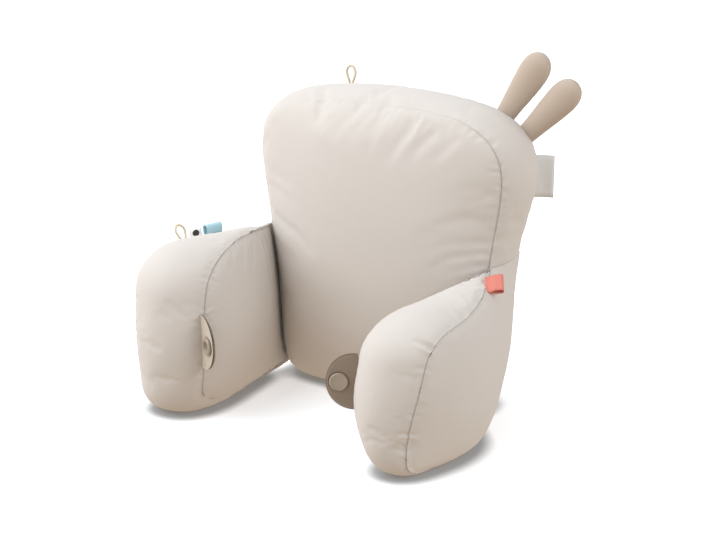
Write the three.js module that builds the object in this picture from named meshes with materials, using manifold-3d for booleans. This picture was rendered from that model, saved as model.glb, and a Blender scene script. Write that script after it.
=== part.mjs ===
// Stroller support cushion: a filled back with a boxed edge and two filled arms that are sewn
// to its front seam, two stuffed horns, cord loops, ribbon tabs, a bare label and snap tabs.
// Millimetres, +Z up. The sitter faces -Y and +X is to the right of a viewer in front.
// The origin is the middle of the flat base of the back.

import * as THREE from 'three';
import { mergeVertices } from 'three/addons/utils/BufferGeometryUtils.js';
import Module from 'manifold-3d';

const wasm = await Module();
wasm.setup();

// Clearances and mesh steps
const GAP = 0.4; // between sewn neighbours
const PANEL_STEPS = 16; // quads along each edge of a back panel
const ARM_STEPS = 12; // quads along each edge of an arm panel
const GUSSET_STEPS = 5; // quads across the boxed edge
const BAND_STEPS = 8; // quads across the band of an arm
const EDGE_SAMPLES = 200; // points used to space a curve evenly

// Back cushion
const GUSSET_DEPTH = 60; // front seam to rear seam
// The boxed edge swells between its seams, less beside the arms and half as much on top
const GUSSET_BULGE = { low: 6, high: 11, from: 150, to: 240 };
const REAR_SPREAD = 4; // the rear seam is wider than the front one above the arms
const SPREAD_FROM = 170;
const SPREAD_FULL = 250;
const FRONT_CROWN = 27;
const REAR_CROWN = 20;
const CROWN_POWER = 2.2; // flatness of a filled panel's middle
const CROWN_EDGE = 0.75; // under 1 lifts the panel quickly from its seam
const FRONT_Y = -GUSSET_DEPTH / 2;

// Seam of the back panels, right half, from the middle of the base to the middle of the top
const BACK_SEAM = [
  { half: 0, height: 1.6 },
  { half: 58, height: 1.6 },
  { half: 99, height: 4.4 },
  { half: 113, height: 14, corner: true },
  { half: 119, height: 40 },
  { half: 123, height: 100 },
  { half: 131, height: 163 },
  { half: 139, height: 215 },
  { half: 142, height: 246 },
  { half: 139, height: 269 },
  { half: 128, height: 285, corner: true },
  { half: 107, height: 298 },
  { half: 60, height: 308 },
  { half: 0, height: 311 },
];

// Arms: the two seams of the band, from the tip at the back over the top, down the front and
// along the sole to the heel. forward is measured from the front seam of the back.
const TIP_HEIGHT = 163;
const HEEL_HEIGHT = 11;
const ARM_SEAMS = {
  top: [
    { forward: 40, inner: 119, innerHeight: 168, outer: 153, outerHeight: 159 },
    { forward: 85, inner: 106, innerHeight: 171, outer: 168, outerHeight: 157 },
    { forward: 122, inner: 98, innerHeight: 162, outer: 173, outerHeight: 153 },
    { forward: 143, inner: 94, innerHeight: 144, outer: 174, outerHeight: 140 },
  ],
  front: [
    { forward: 151, inner: 92, innerHeight: 112, outer: 172, outerHeight: 110 },
    { forward: 154, inner: 91, innerHeight: 80, outer: 170, outerHeight: 78 },
    { forward: 152, inner: 94, innerHeight: 50, outer: 169, outerHeight: 42, lift: 0.4 },
    { forward: 146, inner: 101, innerHeight: 23, outer: 168, outerHeight: 10, lift: 1 },
  ],
  sole: [
    { forward: 112, inner: 103, innerHeight: 10, outer: 168, outerHeight: 4, lift: 0.4 },
    { forward: 75, inner: 108, innerHeight: 8, outer: 162, outerHeight: 3 },
    { forward: 35, inner: 113, innerHeight: 8, outer: 147, outerHeight: 4 },
  ],
};
const ARM_LENGTH = 154;
const ARM_TOE_IN = 12; // the outer seam lies this much further forward at the front
// Each arm has settled in its own way: lean is the sideways shift of its front end, outwards
// positive, inner and outer scale the height of its two seams, and toeLift raises the inner toe.
const ARM_SETTLED = {
  left: { lean: 8, inner: 1, outer: 1, toeLift: 0 },
  right: { lean: -15, inner: 0.86, outer: 0.93, toeLift: 10 },
};
const INNER_CROWN = 14;
// Fullest line of the outer panel between the rear seam of the back and the front of the arm
const FLANK_LINE = [
  { forward: -44, half: 130 },
  { forward: -28, half: 138 },
  { forward: 0, half: 152 },
  { forward: 40, half: 171 },
  { forward: 80, half: 182 },
  { forward: 120, half: 184 },
  { forward: 148, half: 179 },
];
const BAND_WIDTH = 78; // full width of the band
// Swell of a full-width band at points along its run from the tip to the heel
const BAND_SWELL = [
  { share: 0, swell: 6 },
  { share: 0.17, swell: 9 },
  { share: 0.36, swell: 18 },
  { share: 0.6, swell: 18 },
  { share: 0.72, swell: 17 },
  { share: 0.86, swell: 10 },
  { share: 1, swell: 9 },
];
const FLANGE_END = 0.93; // the outer panel reaches nearly to the rear seam of the back

// Horns, stuffed, sewn into the rear seam at the upper right corner
const HORN_SECTIONS = [
  { along: -16, radius: 0 },
  { along: -16, radius: 9.5 },
  { along: 4, radius: 10 },
  { along: 22, radius: 12.2 },
  { along: 42, radius: 15 },
  { along: 54, radius: 16.2 },
  { along: 64, radius: 15 },
  { along: 71, radius: 11.2 },
  { along: 75, radius: 5.6 },
  { along: 76, radius: 0 },
];
const HORN_SIDES = 20;
const HORN_FLATNESS = 0.74; // thickness over width
const HORN_Y = 27;
const HORNS = [
  { name: 'horn_upper', half: 112, height: 300, tilt: 33 },
  { name: 'horn_lower', half: 137, height: 285, tilt: 43 },
];

// Cord loops: outline of half a loop, from its root to its top
const CORD_RADIUS = 1.1;
const CORD_SIDES = 10;
const CORD_STEPS = 36;
const CORD_LOOP = [
  { side: 1.3, height: -7 },
  { side: 1.5, height: 2 },
  { side: 4, height: 10 },
  { side: 4.4, height: 15.5 },
  { side: 0, height: 20 },
];
const TOP_LOOP = { half: -70, height: 305.5, y: 29 };

// Ribbon loops and flat tags
const RIBBON = { thickness: 1, root: 7, fork: 2.2, segments: 8 };
const BLUE_RIBBON = { width: 18, height: 14, spread: 8.6 };
const CORAL_RIBBON = { width: 20, height: 16, spread: 5.5 };
const DOT_TAG = { width: 14, height: 12, thickness: 1.6, root: 6 };
const LABEL = { height: 42, reach: 18, thickness: 1.2, root: 8, bow: 1.4, middle: 243, inset: 2 };

// Places on the arm seams, counted in steps from the start of an edge, and the way each trim points
const ON_LEFT_ARM = {
  arm_cord_loop: { step: 7.1, out: [-0.62, -0.3, 0.72] },
  dot_tag: { step: 6.1, out: [-0.2, 0, 0.97] },
  blue_ribbon_loop: { step: 4.7, out: [0, 0, 1] },
};
const CORAL_PLACE = { step: 2.3, out: [0.87, -0.05, 0.4] };

// Snap tabs at the inner seams of the arms
const TAB = { reach: 26.5, height: 55, thickness: 3, bevel: 0.6, root: 10, turn: 61 };
const TAB_STEPS = { right: 5, left: 5.7 }; // down the front edge
const SNAP = { place: 14, postRadius: 2.6, clearance: 0.3, sides: 28 };
// Turned outlines of the two snap halves, out from the face of the tab
const SNAP_CAP = [
  { radius: 9, out: 0 },
  { radius: 9, out: 1 },
  { radius: 8.2, out: 1.9 },
  { radius: 7, out: 1.9 },
  { radius: 6.4, out: 1.3 },
  { radius: 0, out: 1.3 },
];
const SNAP_SOCKET = [
  { radius: 8.6, out: 0 },
  { radius: 8.6, out: 1.4 },
  { radius: 7.4, out: 2.4 },
  { radius: 5.4, out: 2.4 },
  { radius: 4.2, out: 0.6 },
  { radius: 0, out: 0.6 },
];
const SNAP_BACKING = [
  { radius: 0, out: -1.6 },
  { radius: 6.4, out: -1.6 },
  { radius: 7.4, out: -0.8 },
  { radius: 7.4, out: 0 },
];

const material = (color, roughness) =>
  new THREE.MeshStandardMaterial({ color, roughness, metalness: 0 });
const FINISH = {
  shell: material(0xd8cec6, 0.85),
  horn: material(0xb9a692, 0.9),
  tab: material(0xa8977f, 0.85),
  cord: material(0xe6d8b8, 0.8),
  blue: material(0x9cc0cc, 0.7),
  coral: material(0xf28d78, 0.6),
  white: material(0xe9e8e4, 0.8),
  snap: material(0xa8977f, 0.4),
};

// Geometry helpers

const point = (x, y, z) => new THREE.Vector3(x, y, z);
const turned = (points) => [...points].reverse();

function evenly(curve, from, to, steps) {
  // Points at equal distances along part of a curve.
  const fine = Array.from({ length: EDGE_SAMPLES + 1 }, (_, i) =>
    curve.getPoint(from + ((to - from) * i) / EDGE_SAMPLES),
  );
  const lengths = [0];
  for (let i = 1; i < fine.length; i++) {
    const step = fine[i].distanceTo(fine[i - 1]);
    lengths.push(lengths[i - 1] + step);
  }
  const points = [];
  let k = 0;
  for (let i = 0; i <= steps; i++) {
    const wanted = (lengths[EDGE_SAMPLES] * i) / steps;
    while (k < EDGE_SAMPLES - 1 && lengths[k + 1] < wanted) k++;
    const share = (wanted - lengths[k]) / (lengths[k + 1] - lengths[k]);
    points.push(fine[k].clone().lerp(fine[k + 1], THREE.MathUtils.clamp(share, 0, 1)));
  }
  return points;
}

const rise = (t) => Math.pow(1 - Math.pow(Math.abs(2 * t - 1), CROWN_POWER), CROWN_EDGE);

function panel(low, high, left, right, direction, crown) {
  // A panel between four sewn edges, filled along one direction. Rows run from low to high.
  const columns = low.length - 1;
  const rows = left.length - 1;
  return left.map((_, j) =>
    low.map((__, i) => {
      const p = i / columns;
      const q = j / rows;
      const spot = point(0, 0, 0)
        .addScaledVector(low[i], 1 - q)
        .addScaledVector(high[i], q)
        .addScaledVector(left[j], 1 - p)
        .addScaledVector(right[j], p)
        .addScaledVector(low[0], -(1 - p) * (1 - q))
        .addScaledVector(low[columns], -p * (1 - q))
        .addScaledVector(high[0], -(1 - p) * q)
        .addScaledVector(high[columns], -p * q);
      return spot.addScaledVector(direction, crown * rise(p) * rise(q));
    }),
  );
}

function sewn(grids, mirrored = false) {
  // One closed body from grids of points that share their edges. Nothing reaches below the floor.
  const positions = [];
  const corner = (v) => positions.push(v.x * (mirrored ? -1 : 1), v.y, Math.max(v.z, 0));
  const triangle = (a, b, c) => (mirrored ? [a, c, b] : [a, b, c]).forEach(corner);
  for (const grid of grids)
    for (let j = 0; j + 1 < grid.length; j++)
      for (let i = 0; i + 1 < grid[j].length; i++) {
        const [a, b, c, d] = [grid[j][i], grid[j][i + 1], grid[j + 1][i + 1], grid[j + 1][i]];
        if (a.distanceTo(c) <= b.distanceTo(d)) {
          triangle(a, b, c);
          triangle(a, c, d);
        } else {
          triangle(a, b, d);
          triangle(b, c, d);
        }
      }
  const loose = new THREE.BufferGeometry();
  loose.setAttribute('position', new THREE.Float32BufferAttribute(positions, 3));
  return withoutSlivers(mergeVertices(loose, 0.01));
}

function withoutSlivers(geometry) {
  // Drops collapsed triangles, and pairs that lie back to back where two panels meet in a point.
  const index = [...geometry.index.array];
  const kept = new Map();
  for (let i = 0; i < index.length; i += 3) {
    const corners = index.slice(i, i + 3);
    if (new Set(corners).size < 3) continue;
    const key = [...corners].sort((a, b) => a - b).join();
    if (kept.has(key)) kept.delete(key);
    else kept.set(key, corners);
  }
  geometry.setIndex([...kept.values()].flat());
  return geometry;
}

function solid(geometry) {
  const bare = geometry.clone();
  bare.deleteAttribute('normal');
  bare.deleteAttribute('uv');
  const merged = mergeVertices(bare, 1e-3);
  return new wasm.Manifold(
    new wasm.Mesh({
      numProp: 3,
      vertProperties: merged.attributes.position.array,
      triVerts: new Uint32Array(merged.index.array),
    }),
  );
}

function fromSolid(body) {
  const { vertProperties, triVerts } = body.getMesh();
  const geometry = new THREE.BufferGeometry();
  geometry.setAttribute('position', new THREE.BufferAttribute(vertProperties, 3));
  geometry.setIndex(new THREE.BufferAttribute(triVerts, 1));
  return geometry;
}

function grown(geometry) {
  // The body swollen by the sewing gap, for trimming what is sewn into it.
  const swollen = geometry.clone();
  swollen.computeVertexNormals();
  const { position, normal } = swollen.attributes;
  for (let i = 0; i < position.count; i++)
    position.setXYZ(
      i,
      position.getX(i) + GAP * normal.getX(i),
      position.getY(i) + GAP * normal.getY(i),
      position.getZ(i) + GAP * normal.getZ(i),
    );
  return solid(swollen);
}

// Back cushion

const seamCorners = [];
const seamPoints = [];
BACK_SEAM.forEach((row, i) => {
  if (row.corner) seamCorners.push(i);
  seamPoints.push(point(row.half, 0, row.height));
});
for (let i = BACK_SEAM.length - 2; i > 0; i--) {
  if (BACK_SEAM[i].corner) seamCorners.push(seamPoints.length);
  seamPoints.push(point(-BACK_SEAM[i].half, 0, BACK_SEAM[i].height));
}
const backSeam = new THREE.CatmullRomCurve3(seamPoints, true, 'centripetal');
const [lowRight, highRight, highLeft, lowLeft] = seamCorners.map((i) => i / seamPoints.length);

function sideHalf(height) {
  // Half width of the back seam at a height between its corners.
  let low = lowRight;
  let high = highRight;
  for (let i = 0; i < 40; i++) {
    const middle = (low + high) / 2;
    if (backSeam.getPoint(middle).z < height) low = middle;
    else high = middle;
  }
  return backSeam.getPoint(low).x;
}

const BACK_WIDEST = Math.max(...BACK_SEAM.map((row) => row.half));

function gussetSwell(v, height) {
  // v is -1 at the front seam and 1 at the rear seam.
  const { low, high, from, to } = GUSSET_BULGE;
  const bulge = THREE.MathUtils.lerp(low, high, THREE.MathUtils.smoothstep(height, from, to));
  return bulge * (1 - v * v);
}

function rearSpread(p, y) {
  const share = THREE.MathUtils.smoothstep(p.z, SPREAD_FROM, SPREAD_FULL);
  const sideways = THREE.MathUtils.clamp(p.x / BACK_WIDEST, -1, 1);
  return REAR_SPREAD * share * sideways * (y / GUSSET_DEPTH + 0.5);
}

function backCushion() {
  const edges = {
    low: evenly(backSeam, lowLeft - 1, lowRight, PANEL_STEPS),
    right: evenly(backSeam, lowRight, highRight, PANEL_STEPS),
    top: evenly(backSeam, highRight, highLeft, PANEL_STEPS),
    left: evenly(backSeam, highLeft, lowLeft, PANEL_STEPS),
  };
  const at = (points, y) => points.map((p) => point(p.x + rearSpread(p, y), y, p.z));
  const face = (y, crown) =>
    panel(
      at(edges.low, y),
      at(turned(edges.top), y),
      at(turned(edges.left), y),
      at(edges.right, y),
      point(0, 1, 0),
      crown,
    );
  const front = face(FRONT_Y, -FRONT_CROWN);
  const rear = face(-FRONT_Y, REAR_CROWN).map(turned);
  const round = [
    ...edges.low.slice(0, -1),
    ...edges.right.slice(0, -1),
    ...edges.top.slice(0, -1),
    ...edges.left.slice(0, -1),
  ];
  const gusset = [...round, round[0]].map((p, k) => {
    const before = round[(k + round.length - 1) % round.length];
    const after = round[(k + 1) % round.length];
    const outward = point(after.z - before.z, 0, before.x - after.x).normalize();
    return Array.from({ length: GUSSET_STEPS + 1 }, (_, i) => {
      const v = (2 * i) / GUSSET_STEPS - 1;
      const swell = gussetSwell(v, p.z) * (1 - Math.abs(outward.z) / 2);
      const y = -v * FRONT_Y;
      return point(p.x + rearSpread(p, y), y, p.z).addScaledVector(outward, swell);
    });
  });
  return sewn([front, rear, gusset]);
}

// Arms

function onGusset(height, v) {
  // A place just outside the boxed edge of the back.
  const step = v === -1 ? GAP : 0;
  return point(sideHalf(height) + gussetSwell(v, height) + GAP, -v * FRONT_Y - step, height);
}

function bandSwell(share) {
  const i = Math.max(1, BAND_SWELL.findIndex((row) => row.share >= share));
  const [from, to] = [BAND_SWELL[i - 1], BAND_SWELL[i]];
  return THREE.MathUtils.mapLinear(share, from.share, to.share, from.swell, to.swell);
}

function armSeam(side, settled) {
  // The inner or outer seam of the band as three evenly spaced edges.
  const tip = onGusset(TIP_HEIGHT, -1);
  const heel = onGusset(HEEL_HEIGHT, -1);
  const place = (row) => {
    const share = row.forward / ARM_LENGTH;
    const toe = side === 'outer' ? ARM_TOE_IN * share : 0;
    const x = row[side] + settled.lean * Math.pow(share, 1.5);
    const sag = (1 - settled[side]) * Math.min(1, 2 * share);
    const lift = side === 'inner' ? settled.toeLift * (row.lift ?? 0) : 0;
    return point(x, FRONT_Y - row.forward - toe, row[side + 'Height'] * (1 - sag) + lift);
  };
  const { top, front, sole } = ARM_SEAMS;
  const points = [tip, ...top.map(place), ...front.map(place), ...sole.map(place), heel];
  const curve = new THREE.CatmullRomCurve3(points, false, 'centripetal');
  const last = points.length - 1;
  const shoulder = top.length / last;
  const toe = (top.length + front.length) / last;
  return {
    top: evenly(curve, 0, shoulder, ARM_STEPS),
    front: evenly(curve, shoulder, toe, ARM_STEPS),
    sole: evenly(curve, toe, 1, ARM_STEPS),
  };
}

function armCushion(settled, mirrored) {
  const inner = armSeam('inner', settled);
  const outer = armSeam('outer', settled);
  const heights = Array.from(
    { length: ARM_STEPS + 1 },
    (_, j) => HEEL_HEIGHT + ((TIP_HEIGHT - HEEL_HEIGHT) * j) / ARM_STEPS,
  );
  const across = Array.from(
    { length: GUSSET_STEPS + 1 },
    (_, i) => -1 + ((FLANGE_END + 1) * i) / GUSSET_STEPS,
  );
  const contact = heights.map((z) => across.map((v) => onGusset(z, v)));

  const innerPanel = panel(
    inner.sole,
    turned(inner.top),
    turned(inner.front),
    contact.map((row) => row[0]),
    point(-1, 0, 0),
    INNER_CROWN,
  );
  const outerFlat = panel(
    [...turned(contact[0]).slice(0, -1), ...turned(outer.sole)],
    [...turned(contact[ARM_STEPS]).slice(0, -1), ...outer.top],
    contact.map((row) => row[GUSSET_STEPS]),
    turned(outer.front),
    point(1, 0, 0),
    0,
  );
  const middle = outerFlat[ARM_STEPS / 2];
  const flank = new THREE.CatmullRomCurve3([
    middle[0],
    ...FLANK_LINE.map(({ forward, half }) => {
      const lean = settled.lean * Math.pow(Math.max(forward, 0) / ARM_LENGTH, 1.5);
      return point(half + lean, FRONT_Y - forward, middle[0].z);
    }),
    middle[middle.length - 1],
  ]);
  const fullest = evenly(flank, 0, 1, middle.length - 1);
  const outerPanel = outerFlat.map((row, j) =>
    row.map((spot, i) => {
      const fill = fullest[i].clone().sub(middle[i]).setZ(0);
      return spot.clone().addScaledVector(fill, rise(j / ARM_STEPS));
    }),
  );

  const run = (seam) => [...seam.top, ...seam.front.slice(1), ...seam.sole.slice(1)];
  const innerRun = run(inner);
  const outerRun = run(outer);
  const last = innerRun.length - 1;
  const band = innerRun.map((from, k) => {
    const to = outerRun[k];
    const before = Math.max(k - 1, 0);
    const after = Math.min(k + 1, last);
    const along = innerRun[after].clone().sub(innerRun[before]);
    along.add(outerRun[after]).sub(outerRun[before]);
    const outward = along.cross(to.clone().sub(from)).normalize();
    const swell = bandSwell(k / last) * (from.distanceTo(to) / BAND_WIDTH);
    return Array.from({ length: BAND_STEPS + 1 }, (_, i) => {
      const v = (2 * i) / BAND_STEPS - 1;
      return from
        .clone()
        .lerp(to, i / BAND_STEPS)
        .addScaledVector(outward, swell * (1 - v * v));
    });
  });
  const outsideOut = [innerPanel, outerPanel, band, contact].map((grid) => grid.map(turned));
  const mirror = (points) => points.map((p) => point(mirrored ? -p.x : p.x, p.y, p.z));
  return {
    geometry: sewn(outsideOut, mirrored),
    innerFront: mirror(inner.front),
    outerTop: mirror(outer.top),
  };
}

const back = backCushion();
const armRight = armCushion(ARM_SETTLED.right, false);
const armLeft = armCushion(ARM_SETTLED.left, true);

const cushion = new THREE.Group();
const backGroup = new THREE.Group();
const rightGroup = new THREE.Group();
const leftGroup = new THREE.Group();
cushion.add(backGroup, rightGroup, leftGroup);

function addMesh(group, name, geometry, finish) {
  const mesh = new THREE.Mesh(geometry, finish.clone());
  mesh.name = name;
  group.add(mesh);
  return mesh;
}

addMesh(backGroup, 'back', back, FINISH.shell);
addMesh(rightGroup, 'arm_right', armRight.geometry, FINISH.shell);
addMesh(leftGroup, 'arm_left', armLeft.geometry, FINISH.shell);

const grownBack = grown(back);
const grownRight = grown(armRight.geometry);
const grownLeft = grown(armLeft.geometry);

function addTrim(group, name, geometry, axes, bodies, finish) {
  // A trim at its place, less the root that is hidden in the cushions it is sewn into.
  const whole = solid(geometry.clone().applyMatrix4(axes));
  const shown = bodies.reduce((left, body) => left.subtract(body), whole);
  const cut = fromSolid(shown).applyMatrix4(axes.clone().invert());
  addMesh(group, name, cut, finish).applyMatrix4(axes);
}

function seamSpot(points, step) {
  const i = Math.min(Math.floor(step), points.length - 2);
  const along = points[i + 1].clone().sub(points[i]).normalize();
  return { along, spot: points[i].clone().lerp(points[i + 1], step - i) };
}

function onSeam(points, { step, out }) {
  // Axes at a place on a seam: x along the seam, y outwards, z through the trim.
  const { along, spot } = seamSpot(points, step);
  const outward = point(...out);
  outward.addScaledVector(along, -outward.dot(along)).normalize();
  const through = along.clone().cross(outward);
  return new THREE.Matrix4().makeBasis(along, outward, through).setPosition(spot);
}

// Horns

const hornOutline = HORN_SECTIONS.map(({ along, radius }) => new THREE.Vector2(radius, along));
const hornGeometry = new THREE.LatheGeometry(hornOutline, HORN_SIDES);
hornGeometry.scale(1, 1, HORN_FLATNESS);
hornGeometry.rotateX(Math.PI / 2);
for (const { name, half, height, tilt } of HORNS) {
  const axes = new THREE.Matrix4().makeRotationY(THREE.MathUtils.degToRad(tilt));
  axes.setPosition(half, HORN_Y, height);
  addTrim(backGroup, name, hornGeometry, axes, [grownBack], FINISH.horn);
}

// Cord loops

function cordLoop() {
  const rising = CORD_LOOP.map(({ side, height }) => point(side, height, 0));
  const falling = CORD_LOOP.slice(0, -1).map(({ side, height }) => point(-side, height, 0));
  const path = new THREE.CatmullRomCurve3([...rising, ...falling.reverse()]);
  const section = new THREE.Shape();
  section.absarc(0, 0, CORD_RADIUS, 0, 2 * Math.PI);
  return new THREE.ExtrudeGeometry(section, {
    extrudePath: path,
    steps: CORD_STEPS,
    curveSegments: CORD_SIDES,
  });
}

const topAxes = new THREE.Matrix4().makeRotationX(Math.PI / 2);
topAxes.setPosition(TOP_LOOP.half, TOP_LOOP.y, TOP_LOOP.height);
const armLoopAxes = onSeam(armLeft.outerTop, ON_LEFT_ARM.arm_cord_loop);
addTrim(backGroup, 'top_cord_loop', cordLoop(), topAxes, [grownBack], FINISH.cord);
addTrim(leftGroup, 'arm_cord_loop', cordLoop(), armLoopAxes, [grownLeft], FINISH.cord);

// Ribbon loops

function teardrop(path, start, foot, reach, top) {
  // Up one side of a ribbon loop, round its top and down the other side.
  const belly = 0.65 * top;
  path.bezierCurveTo(foot, start + 0.3 * (top - start), reach, 0.35 * top, reach, belly);
  path.bezierCurveTo(reach, 0.9 * top, 0.55 * reach, top, 0, top);
  path.bezierCurveTo(-0.55 * reach, top, -reach, 0.9 * top, -reach, belly);
  path.bezierCurveTo(-reach, 0.35 * top, -foot, start + 0.3 * (top - start), -foot, start);
}

function ribbonLoop({ width, height, spread }) {
  const { thickness, root, fork, segments } = RIBBON;
  const outline = new THREE.Shape();
  outline.moveTo(thickness, -root);
  outline.lineTo(thickness, 0);
  teardrop(outline, 0, thickness, spread / 2, height);
  outline.lineTo(-thickness, -root);
  const inside = new THREE.Path();
  inside.moveTo(0, fork);
  teardrop(inside, fork, 0, spread / 2 - thickness, height - thickness);
  outline.holes.push(inside);
  const geometry = new THREE.ExtrudeGeometry(outline, {
    depth: width,
    bevelEnabled: false,
    curveSegments: segments,
  });
  geometry.translate(0, 0, -width / 2);
  geometry.rotateY(Math.PI / 2);
  return geometry;
}

const blue = ribbonLoop(BLUE_RIBBON);
const blueAxes = onSeam(armLeft.outerTop, ON_LEFT_ARM.blue_ribbon_loop);
addTrim(leftGroup, 'blue_ribbon_loop', blue, blueAxes, [grownLeft], FINISH.blue);

const coral = ribbonLoop(CORAL_RIBBON);
const coralAxes = onSeam(armRight.outerTop, CORAL_PLACE);
addTrim(rightGroup, 'coral_ribbon_loop', coral, coralAxes, [grownRight, grownBack], FINISH.coral);

// Flat tags

function dotTag({ width, height, thickness, root }) {
  const round = 2.5;
  const outline = new THREE.Shape();
  outline.moveTo(-width / 2, -root);
  outline.lineTo(width / 2, -root);
  outline.lineTo(width / 2, height - round);
  outline.quadraticCurveTo(width / 2, height, width / 2 - round, height);
  outline.lineTo(round - width / 2, height);
  outline.quadraticCurveTo(-width / 2, height, -width / 2, height - round);
  const geometry = new THREE.ExtrudeGeometry(outline, { depth: thickness, bevelEnabled: false });
  geometry.translate(0, 0, -thickness / 2);
  return geometry;
}

const tagAxes = onSeam(armLeft.outerTop, ON_LEFT_ARM.dot_tag);
addTrim(leftGroup, 'dot_tag', dotTag(DOT_TAG), tagAxes, [grownLeft], FINISH.white);

function sideLabel({ height, reach, thickness, root, bow }) {
  const outline = new THREE.Shape();
  outline.moveTo(-root, 0);
  outline.quadraticCurveTo(0.5 * reach, bow, reach, 0);
  outline.lineTo(reach, thickness);
  outline.quadraticCurveTo(0.5 * reach, bow + thickness, -root, thickness);
  const geometry = new THREE.ExtrudeGeometry(outline, { depth: height, bevelEnabled: false });
  geometry.translate(0, 0, -height / 2);
  return geometry;
}

const labelSeam = point(sideHalf(LABEL.middle), -FRONT_Y, LABEL.middle);
labelSeam.x += rearSpread(labelSeam, -FRONT_Y);
labelSeam.y -= LABEL.inset;
const labelAxes = new THREE.Matrix4().setPosition(labelSeam);
addTrim(backGroup, 'side_label', sideLabel(LABEL), labelAxes, [grownBack], FINISH.white);

// Snap tabs

function snapTab() {
  const { reach, height, thickness, bevel, root } = TAB;
  const outline = new THREE.Shape();
  outline.moveTo(-root, bevel - height / 2);
  outline.lineTo(0, bevel - height / 2);
  outline.absellipse(0, 0, reach - bevel, height / 2 - bevel, -Math.PI / 2, Math.PI / 2);
  outline.lineTo(-root, height / 2 - bevel);
  const eyelet = new THREE.Path();
  eyelet.absarc(SNAP.place, 0, SNAP.postRadius + SNAP.clearance + bevel, 0, 2 * Math.PI, true);
  outline.holes.push(eyelet);
  const geometry = new THREE.ExtrudeGeometry(outline, {
    depth: thickness - 2 * bevel,
    bevelThickness: bevel,
    bevelSize: bevel,
    bevelSegments: 2,
    curveSegments: 20,
  });
  geometry.translate(0, 0, bevel - thickness / 2);
  return geometry;
}

function snapHalf(face) {
  const off = TAB.thickness / 2 + SNAP.clearance;
  const post = [
    { radius: SNAP.postRadius, out: 0 },
    { radius: SNAP.postRadius, out: 2 * off },
  ];
  const outline = [
    ...SNAP_BACKING.map(({ radius, out }) => new THREE.Vector2(radius, out - off)),
    ...post.map(({ radius, out }) => new THREE.Vector2(radius, out - off)),
    ...face.map(({ radius, out }) => new THREE.Vector2(radius, out + off)),
  ];
  const geometry = new THREE.LatheGeometry(outline, SNAP.sides);
  geometry.rotateX(Math.PI / 2);
  geometry.translate(SNAP.place, 0, 0);
  return geometry;
}

function tabAxes(points, step, side) {
  // x out along the tab, z through it towards the front of the cushion.
  const turn = THREE.MathUtils.degToRad(TAB.turn);
  const outward = point(-side * Math.sin(turn), -Math.cos(turn), 0);
  const through = point(side * Math.cos(turn), -Math.sin(turn), 0);
  const upright = through.clone().cross(outward);
  const { spot } = seamSpot(points, step);
  return new THREE.Matrix4().makeBasis(outward, upright, through).setPosition(spot);
}

const rightAxes = tabAxes(armRight.innerFront, TAB_STEPS.right, 1);
const leftAxes = tabAxes(armLeft.innerFront, TAB_STEPS.left, -1);
addTrim(rightGroup, 'snap_tab_right', snapTab(), rightAxes, [grownRight], FINISH.tab);
addTrim(leftGroup, 'snap_tab_left', snapTab(), leftAxes, [grownLeft], FINISH.shell);
addMesh(rightGroup, 'snap_cap', snapHalf(SNAP_CAP), FINISH.snap).applyMatrix4(rightAxes);
addMesh(leftGroup, 'snap_socket', snapHalf(SNAP_SOCKET), FINISH.snap).applyMatrix4(leftAxes);

export default cushion;
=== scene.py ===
import math
import random

import bmesh
import bpy
from mathutils import Matrix, Vector, kdtree, noise
from mathutils.bvhtree import BVHTree
from mathutils.geometry import intersect_point_line


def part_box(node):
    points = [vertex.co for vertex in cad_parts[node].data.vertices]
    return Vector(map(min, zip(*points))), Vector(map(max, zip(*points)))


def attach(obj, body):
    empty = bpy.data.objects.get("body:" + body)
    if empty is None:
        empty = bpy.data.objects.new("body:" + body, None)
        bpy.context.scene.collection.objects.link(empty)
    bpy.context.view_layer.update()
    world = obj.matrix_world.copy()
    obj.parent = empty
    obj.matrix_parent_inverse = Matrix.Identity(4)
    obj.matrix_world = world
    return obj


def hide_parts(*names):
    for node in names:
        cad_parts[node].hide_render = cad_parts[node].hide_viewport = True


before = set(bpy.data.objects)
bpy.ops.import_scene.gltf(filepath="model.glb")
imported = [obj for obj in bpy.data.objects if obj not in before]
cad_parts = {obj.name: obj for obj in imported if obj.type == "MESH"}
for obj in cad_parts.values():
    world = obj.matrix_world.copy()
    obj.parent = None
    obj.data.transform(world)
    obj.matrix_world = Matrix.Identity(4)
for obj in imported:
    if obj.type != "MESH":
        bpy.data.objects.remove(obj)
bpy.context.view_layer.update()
MM = 0.001

# Camera, at the photograph's angle
CAMERA_TURN = math.radians(34.0)
CAMERA_DROP = math.radians(18.62)
CAMERA_PLACE = (0.970, -1.5005, 0.7293)
PHOTO_WIDTH = 716
CAMERA_FOCUS = 1850  # pixels of the photograph
SENSOR = 36.0

# Seams of the cushions
SURE_SEAM = math.radians(33)  # a fold this sharp is a seam
FAINT_SEAM = math.radians(10)  # a seam may run on along folds this faint
SEAM_TURN = math.radians(65)  # most that a seam turns at a point
CREASED = 0.5  # an edge with a crease above this is sewn or is a rim
FLOOR_TOUCH = 0.6 * MM  # cloth this low stands on the floor
RIM_FOLD = math.radians(100)  # a fold sharper than this is a thin rim and not a seam
RIM_PRESS = 0.4 * MM  # the outer rim of an arm is pressed this far into the back
INNER_RIM = 131 * MM  # the inner side of an arm is nearer the middle than this
POCKET_MOUTH = 1.7 * MM  # where an arm comes this near the back its cloth turns away
POCKET_EDGE = 0.9 * MM  # it has turned away fully this much nearer
POCKET_WIDTH = 2.0 * MM
POCKET_SPAN = (-20 * MM, 0.0)  # front and rear of the stretch where the pocket closes
TOE_HEIGHT = 32 * MM  # the band of an arm bends under its toe with no seam
TOE_FRONT = -150 * MM  # the toe is in front of this
TOE_ACROSS = 0.5  # share of its length that makes an edge run across the band

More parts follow.
